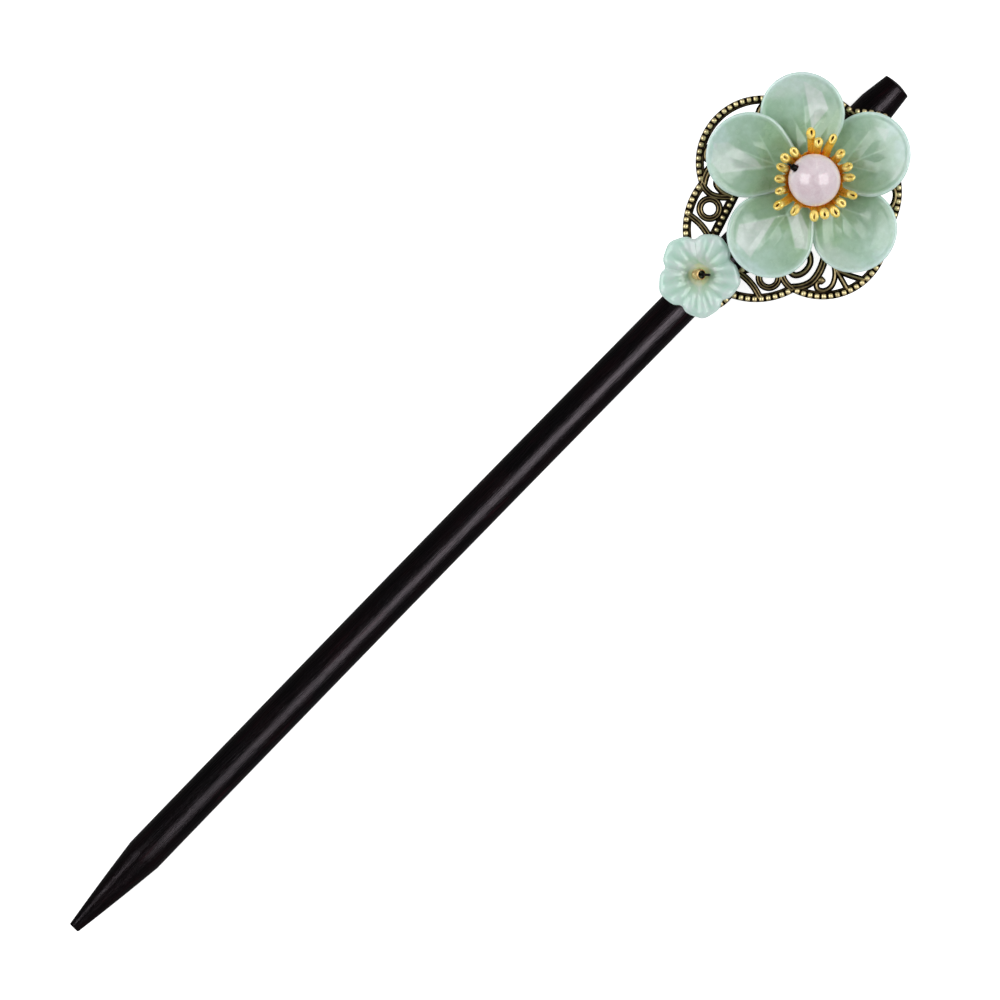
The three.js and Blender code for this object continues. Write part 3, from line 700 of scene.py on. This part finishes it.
def knob(shape, centre, size, turn, segments, rings):
    """A small rounded bead lying in the plate: centre (u, v, z), size along, across and up."""
    verts = []
    faces = []
    c, s = math.cos(turn), math.sin(turn)
    for r in range(1, rings):
        down = math.pi * r / rings
        for k in range(segments):
            a = 2 * math.pi * k / segments
            x = size[0] * math.sin(down) ** 0.8 * squared(math.cos(a), 0.6)
            y = size[1] * math.sin(down) ** 0.8 * squared(math.sin(a), 0.6)
            verts.append((centre[0] + c * x - s * y, centre[1] + s * x + c * y,
                          centre[2] + size[2] * math.cos(down)))
    top = len(verts)
    verts += [(centre[0], centre[1], centre[2] + size[2]), (centre[0], centre[1], centre[2] - size[2])]
    for k in range(segments):
        n = (k + 1) % segments
        faces.append((top, k, n))
        faces.append((top + 1, (rings - 2) * segments + n, (rings - 2) * segments + k))
        for row in range(0, (rings - 2) * segments, segments):
            faces.append((row + k, row + segments + k, row + segments + n, row + n))
    shape.add(verts, faces)


def circle(u, v, radius, steps=48):
    angles = around(steps)
    return np.stack([u + radius * np.cos(angles), v + radius * np.sin(angles)], 1)


def on_side(points, side):
    """Points of the half plate, as they are (1) or mirrored (-1)."""
    return [(u, v * side) for u, v in points]


def plate():
    """The stamped plate: a rim with a row of beads, scrolls, ringlets, a spine and two hubs."""
    place = moved(PLATE["x"], PLATE["y"], 0) @ turned(PLATE["turn"], "Z")
    sheet = Shape()
    edge = plate_outline()
    strip(sheet, edge, RIM, closed=True)
    spine = [(u, 0) for u in np.linspace(SPINE["from"], SPINE["to"], 30)]
    strip(sheet, spine, scaled(BAND, SPINE["width"]))
    bar = BEADED_STRIP
    for side in (1, -1):
        for points, width, *only in SCROLLS:
            if side in (only or (side,)):
                strip(sheet, through(on_side(points, side), 9), rib_section(width))
        bar_line = np.linspace(*on_side(bar["line"], side), 12)
        strip(sheet, bar_line, scaled(BAND, bar["width"], bar["thinning"]))
        curl = on_side(SCROLLS[CURLED][0], side)[-1]
        knob(sheet, (*curl, PLATE_BOTTOM + CURL_KNOB["height"]), CURL_KNOB["size"], 0, 14, 8)
        ring_line = circle(RINGLET["u"], RINGLET["v"] * side, (RINGLET["outer"] + RINGLET["inner"]) / 2)
        strip(sheet, ring_line, rib_section(1.1), closed=True)
    sheet.place(place)
    for centre, hub in (((FLOWER["x"], FLOWER["y"]), HUB), (SMALL_CENTRE[:2], SMALL_HUB)):
        hub_line = circle(centre[0], centre[1], (hub["radius"] + hub["opening"]) / 2, 64)
        strip(sheet, hub_line, scaled(BAND, hub["radius"] - hub["opening"]), closed=True)
    piece("plate_sheet", sheet, "pin", "plate_brass", "filigree_plate")

    beads = Shape()
    rows = [(edge, True, RIM_BEADS)] + [(on_side(bar["line"], side), False, STRIP_BEADS) for side in (1, -1)]
    for line, closed, row in rows:
        for (u, v), (du, dv) in zip(*evenly(line, row["spacing"], closed)):
            centre = (u + dv * row["inset"], v - du * row["inset"], PLATE_BOTTOM + row["height"])
            knob(beads, centre, row["size"], math.atan2(dv, du), *row["steps"])
    beads.place(place)
    piece("plate_beading", beads, "pin", "plate_brass", look="beading")


# -------- petals

def blade_edge(angle, radius, root):
    """Distance from the blade's middle to its edge, seen at an angle from the direction of the root."""
    away = np.abs(np.degrees(angle))
    waist = 0.012 * np.exp(-(((away - 50) / 20) ** 2))
    neck = (root / radius - 1) * np.exp(-((away / 31) ** 2))
    return radius * (1 - waist + neck)


def pane_mark(x, y, corners, softness):
    """How far into a convex pane each point lies, from 0 outside to 1 inside."""
    corners = np.array(corners)
    middle = corners.mean(axis=0)
    inside = np.full(x.shape, np.inf)
    for a, b in zip(corners, np.roll(corners, -1, axis=0)):
        normal = unit(np.array([-(b - a)[1], (b - a)[0]]))
        normal = normal if np.dot(middle - a, normal) > 0 else -normal
        inside = np.minimum(inside, (x - a[0]) * normal[0] + (y - a[1]) * normal[1])
    return smoothstep(0.5 + inside / softness)


def petal(name):
    bearing, reach, radius, lift, pitch, tilt, creases = PETALS[name]
    root = reach - FLOWER["root"]
    sides = 180
    flat = 0.86  # the share of the blade up to which the rings are even; beyond it they crowd together
    rolled = flat + (1 - flat) * np.sin(np.linspace(0, math.pi / 2, 13)[1:])
    shares = np.concatenate([np.linspace(0, flat, 46), rolled])
    angles = around(sides, -math.pi)

    def surface(share, upper):
        """One ring of the upper or lower face, with its marks: place, painted reflection, crease, distance
        to the rim.
        """
        edge = blade_edge(angles, radius, root)
        x = reach - np.cos(angles) * share * edge
        y = np.sin(angles) * share * edge * PETAL["breadth"]
        outward_share = (1 - np.cos(angles)) / 2
        rise = PETAL["cup"] * share ** 2 * (PETAL["root_cup"] + (1 - PETAL["root_cup"]) * outward_share)
        half = (PETAL["middle"] + (PETAL["edge"] - PETAL["middle"]) * share) / 2
        half = half * math.sqrt(max(0.0, 1 - share ** 16))
        z = PETAL["middle"] / 2 + rise + (half if upper else -half)
        from_rim = (1 - share) * edge
        mark = np.zeros(sides)
        for start, direction, length in creases:
            way = math.radians(direction)
            along = (x - start) * math.cos(way) + y * math.sin(way)
            off = y * math.cos(way) - (x - start) * math.sin(way)
            # A crease comes in over 2 mm, goes out over its last 40%, and is 1.5 mm wide to each side.
            fade = smoothstep((length - along) / (0.4 * length)) * smoothstep((along + 1.5) / 2.0)
            fold = 1 - np.minimum(1.0, np.sqrt(off ** 2 + 0.012) / 1.5)
            z = z - PETAL["fold_above" if upper else "fold_below"] * fold * fade
            mark = np.maximum(mark, np.exp(-(off / 0.15) ** 2) * fade)
        if upper:
            lip = PETAL["lip"] * np.exp(-(((from_rim - 0.38) / 0.24) ** 2))
            channel = PETAL["channel"] * np.exp(-(((from_rim - 0.95) / 0.32) ** 2))
            z = z + (lip - channel) * outward_share ** 0.5
        place = (x - FLOWER["root"]) / (root + radius)
        # The panes are painted reflections of the soft lights.
        milk = np.zeros(sides)
        for strength, softness, corners in PAINTED_REFLECTION_PANES[name]:
            milk = np.maximum(milk, strength * pane_mark(x, y, corners, softness))
        marks = np.stack([place, milk, mark, from_rim], 1)
        return np.stack([x, y, z], 1), marks

    shape = Shape()
    rows = [(share, True) for share in shares] + [(share, False) for share in shares[::-1][1:]]
    rings, marks = zip(*(surface(max(share, 0.004), upper) for share, upper in rows))
    shape.add(*loft(rings), np.vstack(marks))
    shape.place(moved(FLOWER["x"], FLOWER["y"], FLOWER["base"] + lift) @ turned(bearing, "Z")
                @ turned(-pitch, "Y") @ turned(tilt, "X"))
    piece(f"{name}_glass", shape, "pin", "petal_glass", name, layers=("blade", "crease"))


def petal_wire(index, name):
    bearing, _, _, lift, pitch, _, _ = PETALS[name]
    top = FLOWER["base"] + lift + FLOWER["hole"] * math.sin(math.radians(pitch)) + PETAL_WIRE["over"]
    centre = np.array([FLOWER["x"], FLOWER["y"]])

    def place(reach, z):
        return (*(centre + polar(bearing, reach)), z)

    def leg(reach, over):
        return [place(reach + PETAL_WIRE["tail"], WIRE_RUN), place(reach + 0.25, WIRE_RUN),
                place(reach, WIRE_RUN + 0.3), place(reach, top - 0.45), place(reach + over, top)]

    bend = PETAL_WIRE["bend"]
    points = leg(PETAL_WIRE["inner_leg"], bend) + leg(FLOWER["hole"], -bend)[::-1]
    node = f"petal_wire_{index}"
    wire(f"{node}_bent", points, 6, PETAL_WIRE["radius"], 10, "gilt_wire", node)


# -------- stamens

def filament(shape, path, base_width, end_width):
    """A domed filament that narrows from its base to its end."""
    ahead = units(np.gradient(path, axis=0))
    side = units(np.cross([0, 0, 1.0], ahead))
    up = np.cross(ahead, side)
    section = [(-1, 0), (-0.8, 0.45), (-0.42, 0.74), (0, 0.84), (0.42, 0.74), (0.8, 0.45), (1, 0),
               (0.7, -0.5), (-0.7, -0.5)]
    halves = np.linspace(base_width, end_width, len(path)) / 2
    rings = [[p + s * x * h + u * z * h * 0.7 for x, z in section]
             for p, s, u, h in zip(path, side, up, halves)]
    shape.add(*loft(rings))


def eyed_head(shape, centre, forward, up, width, stretch, eye_shade_strength):
    """A swollen stamen head: a ring, thick at its neck and thin at its tip, round a blind eye that a dark
    plug closes; the plug and the ring's inner wall carry painted shade.
    """
    side = unit(np.cross(up, forward))
    lift = unit(np.cross(forward, side))
    steps, ring_steps = 22, 12
    rings = []
    marks = []
    major = width * 0.27
    for a in around(steps):
        minor = width * (0.245 - 0.07 * math.cos(a))
        reach = stretch * (1.25 if math.cos(a) < 0 else 1.0) * major
        line = forward * math.cos(a) * reach + side * math.sin(a) * major
        out = unit(forward * math.cos(a) + side * math.sin(a))
        for b in around(ring_steps):
            rings.append(centre + line + out * minor * math.cos(b) + lift * minor * 1.1 * math.sin(b))
            # The ring's inner wall, towards the eye, is marked for painted shade.
            marks.append((eye_shade_strength * smoothstep((-math.cos(b) - 0.6) / 0.3), 0, 0, 0))
    shape.add(*loft(np.array(rings).reshape(steps, ring_steps, 3), closed_along=True), marks)
    # A dark plug in the eye, all of it marked for painted shade.
    shade_plug = []
    for rise, spread in ((-0.16, 0.02), (-0.16, 0.75), (-0.10, 1.0), (-0.04, 0.75), (-0.04, 0.02)):
        shade_plug.append([centre + lift * rise * width
                    + (forward * math.cos(a) * 1.35 + side * math.sin(a)) * width * 0.2 * spread
                    for a in around(ring_steps)])
    shape.add(*loft(shade_plug), np.tile([eye_shade_strength, 0, 0, 0], (len(shade_plug) * ring_steps, 1)))


def stamens():
    """Stamped gilt crown: a washer with a fluted cup, filaments that stand out and loop at the end."""
    s = STAMENS
    rim = s["radius"]
    rng = random.Random(SEED)
    shape = lathe(eased(s["hole"], rim, 0, s["thickness"], 0.05, 0.03), 64)
    cup_rings = []
    angles = around(144)
    flutes = np.cos(angles * len(STAMEN_HEADS)) * 0.5 + 0.5
    rows = np.linspace(0, 1, 7)
    for half, shares in ((CUP["half"], rows), (-CUP["half"], rows[::-1])):
        for k in shares:
            radius = CUP["inner"] + CUP["spread"] * k + CUP["flute"] * flutes * k
            z = CUP["foot"] + (CUP["rise"] + CUP["flute_rise"] * flutes) * k ** 1.35 + half
            cup_rings.append(np.stack([radius * np.cos(angles), radius * np.sin(angles), z], 1))
    shape.add(*loft(cup_rings, closed_along=True))

    def at(bearing, distance, z):
        return np.array([*polar(bearing, distance), z])

    for bearing, reach in STAMEN_HEADS:
        rise = s["rise"] - s["droop"] * (reach - s["short"])
        middle = at(bearing + rng.uniform(-2.0, 2.0), (rim + reach) / 2, s["wire"] + rise * 0.5)
        stem = [at(bearing, rim - 0.4, s["wire"]), at(bearing, rim + 0.25, s["wire"] + 0.1), middle,
                at(bearing, reach - 0.45, s["wire"] + rise - 0.2)]
        filament(shape, through(stem, 6), s["base"], s["neck"])
        forward = unit(unit(at(bearing, reach, 0)) + np.array([0, 0, rng.uniform(0.0, 0.6)]))
        size = s["head"] * rng.uniform(0.88, 1.06)
        stretch = rng.uniform(1.2, 1.7)
        # How strong the painted shade in this head's eye is.
        eye_shade_strength = rng.choice((0.5, 1.0, 1.0))
        roll = np.array([rng.uniform(-0.1, 0.8), rng.uniform(-0.1, 0.8), 1.0])
        eyed_head(shape, at(bearing, reach, s["wire"] + rise), forward, roll, size, stretch, eye_shade_strength)
    shape.place(moved(*BEAD_CENTRE[:2], CROWN_BOTTOM))
    piece("stamen_crown_gilt", shape, "pin", "gilt", "stamen_crown", layers=("eye",))


# -------- bead and its wire

def aim(axis):
    return Vector((0, 0, 1)).rotation_difference(Vector(axis)).to_matrix().to_4x4()


def centre_bead():
    radius, bore, chamfer = BEAD["radius"], BEAD["bore"], BEAD["chamfer"]
    start = math.asin((bore + chamfer) / radius)
    arc_points = np.linspace(start, math.pi - start, 48)
    profile = [(radius * math.sin(a), radius * math.cos(a)) for a in arc_points]
    end = math.sqrt(radius ** 2 - (bore + chamfer) ** 2)
    inner = [(bore, z) for z in np.linspace(-end + chamfer, end - chamfer, 12)]
    shape = lathe(profile + inner, 72)
    shape.place(moved(*BEAD_CENTRE) @ aim(BEAD_AXIS))
    piece("centre_bead_stone", shape, "bead", "rose_stone", "centre_bead")


def bead_wire():
    hug, dive = BEAD_WIRE["hug"], BEAD_WIRE["dive"]

    def at(across, z):
        return np.array([*(BEAD_CENTRE[:2] + polar(BEAD["bearing"], across)), BEAD_CENTRE[2] + z])

    def hugging(degrees):
        a = math.radians(degrees)
        return at(hug * math.cos(a), hug * math.sin(a))

    lowest = WIRE_RUN - BEAD_CENTRE[2]
    last = math.degrees(math.acos(dive / hug))
    slope = math.radians(BEAD["rise"])

    def tail(start, bearing):
        return [np.array([*(start[:2] + polar(bearing, far)), WIRE_RUN]) for far in (0.3, 1.9)]

    near, far = at(dive, lowest + 0.35), at(-dive, lowest + 0.35)
    down = [*(hugging(a) for a in np.linspace(-last, 0, 7)), at(hug + 0.35, 1.3)]
    back = [hugging(a) for a in np.linspace(180 + BEAD["rise"] + 9, 180 + last, 7)]
    bend = BEAD_WIRE["bend"]
    stations = (bend, bend - 0.4, bend - 0.9, 2.5, 0, -2.5, -3.8)
    bore = [at(t * math.cos(slope), t * math.sin(slope)) for t in stations]
    points = [*tail(near, 160)[::-1], near, at(dive, -5.6), *down, *bore, *back, at(-dive, -5.6), far,
              *tail(far, -60)]
    wire("bead_wire_bent", points, 6, BEAD_WIRE["radius"], 12, "dark_wire", "bead_wire")


def bead_sleeve():
    """A short dark sleeve on the wire where it leaves the bead's upper mouth, its rims eased."""
    s = SLEEVE
    shape = lathe(eased(s["inner"], s["outer"], s["from"], s["to"], 0.05, 0.05), 32)
    shape.place(moved(*BEAD_CENTRE) @ aim(BEAD_AXIS))
    piece("bead_sleeve_tube", shape, "pin", "dark_wire", "bead_sleeve")


# -------- small flower

def small_flower():
    """Pressed-glass blossom: five lobes, each fluted, round a small throat."""
    sides = 240
    angles = around(sides)
    fifth = 2 * math.pi / 5
    from_tip = np.abs((angles + fifth / 2) % fifth - fifth / 2)
    from_notch = fifth / 2 - np.sqrt(from_tip ** 2 + 0.012)
    edge = SMALL["side"] / np.cos(from_notch)
    edge = edge - SMALL["rounding"] * np.exp(-(from_tip / 0.24) ** 2)
    edge = edge - SMALL["nick"] * np.exp(-(from_notch / 0.12) ** 2)
    edge = edge * (1 + 0.02 * np.sin(angles * 2 + 0.6))
    lobing = np.abs(np.cos(2.5 * angles)) ** 0.7
    flute = np.cos(15 * angles)
    tip = SMALL["tip"]
    line = through([(r, z, 0) for r, z in SMALL_PROFILE], 5)[:, :2]
    upper_from = 26  # the row just past the profile's outermost point
    rings = []
    marks = []
    for i, (r, z) in enumerate(line):
        radius = r * (1 + (edge / tip - 1) * smoothstep((r - 1.7) / (tip - 1.7)))
        out = smoothstep((r - 1.6) / 2.5) * (1 - 0.35 * smoothstep((r - 5.0) / 1.2))
        up = 1.0 if i > upper_from else -0.4
        height = z + SMALL["flute"] * flute * out * up - SMALL["valley"] * (1 - lobing) ** 3 * out * up
        rings.append(np.stack([radius * np.cos(angles), radius * np.sin(angles), height], 1))
        crest = (flute * 0.5 + 0.5) * out
        marks.append(np.stack([np.full(sides, r / tip), crest, np.zeros(sides), np.zeros(sides)], 1))
    shape = Shape()
    shape.add(*loft(rings, closed_along=True), np.vstack(marks))
    shape.place(moved(*SMALL_CENTRE[:2], SMALL_BASE) @ turned(SMALL["bearing"], "Z"))
    piece("small_flower_glass", shape, "blossom", "pressed_glass", "small_flower", layers=("blade",))


def seed_bead():
    radius, hole, length = SEED_BEAD["radius"], SEED_BEAD["hole"], SEED_BEAD["length"]
    middle = (radius + hole) / 2
    half = (radius - hole) / 2
    profile = [(middle + half * squared(math.cos(a)), length / 2 * squared(math.sin(a))) for a in around(20)]
    shape = lathe(profile, 36)
    # The inner wall of the hole is marked for painted shade.
    inwards = [(middle - math.hypot(x, y)) / half for x, y, _ in shape.verts]
    shape.marks = [(smoothstep(share * 3 - 0.4), 0, 0, 0) for share in inwards]
    rise = math.radians(SEED_BEAD["rise"])
    axis = (*polar(SEED_BEAD["bearing"], math.cos(rise)), math.sin(rise))
    shape.place(moved(*SMALL_CENTRE[:2], SMALL_BASE + SEED_BEAD["height"]) @ aim(axis))
    piece("seed_bead_gilt", shape, "pin", "gilt_seed", "seed_bead", layers=("eye",))


def small_flower_wire():
    leg, tail = SMALL_WIRE["leg"], SMALL_WIRE["tail"]
    run = WIRE_RUN - SMALL_BASE
    slope = math.radians(SEED_BEAD["rise"])

    def at(across, z):
        return np.array([*(SMALL_CENTRE[:2] + polar(SEED_BEAD["bearing"], across)), SMALL_BASE + z])

    def up_to(s):
        return [at(s * tail, run), at(s * (leg + 0.25), run), at(s * leg, run + 0.35), at(s * leg, 0),
                at(s * leg, 0.9), at(s * (leg + 0.09), 1.14)]

    middle = SEED_BEAD["height"]
    hole = [at(t * math.cos(slope), middle + t * math.sin(slope)) for t in (1.3, 0.6, 0, -0.7, -1.15)]
    points = [*up_to(1), at(0.85, 1.42), at(1.35, 1.85), at(1.6, 2.6), at(1.6, 3.2), at(1.3, 3.75), *hole,
              at(-0.72, 1.45), at(-0.5, 1.25), *up_to(-1)[::-1]]
    wire("small_flower_wire_bent", points, 5, SMALL_WIRE["radius"], 12, "dark_wire", "small_flower_wire")


# -------- lashings

def lashing(name):
    across = LASHING["side"]
    over = PLATE_TOP + LASHING["radius"] + LASHING["gap"]
    under = STICK["radius"] + LASHING["radius"] + LASHING["gap"]
    bend = np.linspace(0, math.pi, 7)
    turn = [(across * math.cos(a), -under * math.sin(a)) for a in bend]
    turn += [(-across, 2.0), (-across, over - 0.45), (-across + 0.4, over), (0, over), (across - 0.4, over),
             (across, over - 0.45), (across, 2.0)]
    start = LASHING_STARTS[name]
    points = []
    for n in range(LASHING["turns"]):
        for i, (y, z) in enumerate(turn):
            points.append((start + LASHING["pitch"] * (n + i / len(turn)), y, z))
    wire(f"{name}_wound", points, 6, LASHING["radius"], 10, "lashing_wire", name)


# -------- floor, light and camera

VIEW = {"centre": (92.35, -1.05), "width": 152.9, "roll": 45.67, "lens": 1500.0, "sensor": 36.0}
WHITE = (1.0, 1.0, 1.0, 1.0)
AIM_HEIGHT = 0.01


def camera():
    data = bpy.data.cameras.new("camera")
    data.lens = VIEW["lens"]
    data.sensor_width = VIEW["sensor"]
    data.clip_end = 20
    distance = VIEW["width"] * VIEW["lens"] / VIEW["sensor"]
    made = placed("camera", data)
    made.location = (VIEW["centre"][0] * MM, VIEW["centre"][1] * MM, distance * MM)
    made.rotation_euler = (0, 0, -math.radians(VIEW["roll"]))
    bpy.context.scene.camera = made


def softbox(name, x, right, up, lean, distance, size, power):
    """A square soft light of a size in metres and a power in watts. It stands at a distance in metres from
    the point x on the stick, and leans from the view axis by some degrees, right and up in the picture."""
    way = unit(polar(-VIEW["roll"], right) + polar(90 - VIEW["roll"], up))
    target = Vector((x * MM, 0, AIM_HEIGHT))
    lean = math.radians(lean)
    offset = Vector((way[0] * math.sin(lean), way[1] * math.sin(lean), math.cos(lean))) * distance
    data = bpy.data.lights.new(name, "AREA")
    data.size = size
    data.energy = power
    made = placed(name, data)
    made.location = target + offset
    made.rotation_euler = (-offset).to_track_quat("-Z", "Y").to_euler()
    return made


def flag(light, lit, state):
    """Makes a light shine on one piece alone (INCLUDE) or on all but it (EXCLUDE), as a flag does."""
    receivers = bpy.data.collections.new(f"{light.name}_receivers")
    receivers.objects.link(lit)
    receivers.collection_objects[0].light_linking.link_state = state
    light.light_linking.receiver_collection = receivers


def floor():
    """Pale paper under the pin, a little bright by itself, that doesn't show in what is glossy."""
    size = 1.5
    z = (box_mm("lashing_head")[0][2] - 0.1) * MM
    corners = [(-size, -size, z), (size, -size, z), (size, size, z), (-size, size, z)]
    mesh = bpy.data.meshes.new("floor")
    mesh.from_pydata(corners, [], [(0, 1, 2, 3)])
    n = Nodes("floor_paper", Roughness=0.9, Emission_Strength=0.8, Emission_Color=WHITE)
    n.to("Base Color", n.ramp(n.noise(40, detail=2), [(0.3, grey(0.90)), (0.7, grey(0.93))]))
    mesh.materials.append(n.material)
    made = placed("floor", mesh)
    made.visible_glossy = False


def surroundings():
    world = bpy.data.worlds.new("studio")
    bpy.context.scene.world = world
    world.use_nodes = True
    background = world.node_tree.nodes["Background"]
    background.inputs["Color"].default_value = WHITE
    background.inputs["Strength"].default_value = 0.13
    bpy.context.scene.view_settings.view_transform = "Standard"


camera()
surroundings()
floor()
left_box = softbox("softbox_left", x=160, right=-1, up=0.1, lean=43, distance=0.55, size=0.45, power=1.9)
right_box = softbox("softbox_right", x=160, right=1, up=0.1, lean=43, distance=0.55, size=0.45, power=2.0)
kicker = softbox("kicker", x=190, right=0.7, up=-0.7, lean=26, distance=0.5, size=0.28, power=2.6)
glint = softbox("glint", x=4, right=-0.95, up=0.32, lean=43, distance=0.5, size=0.10, power=0.32)
for box in (kicker, glint):
    box.data.color = (1.0, 0.87, 0.97)

stick_piece = stick()
for box in (left_box, right_box):
    flag(box, stick_piece, "EXCLUDE")
for box in (kicker, glint):
    flag(box, stick_piece, "INCLUDE")
plate()
for number, petal_name in enumerate(PETALS, 1):
    petal(petal_name)
    petal_wire(number, petal_name)
stamens()
centre_bead()
bead_wire()
bead_sleeve()
small_flower()
seed_bead()
small_flower_wire()
for lashing_name in LASHING_STARTS:
    lashing(lashing_name)
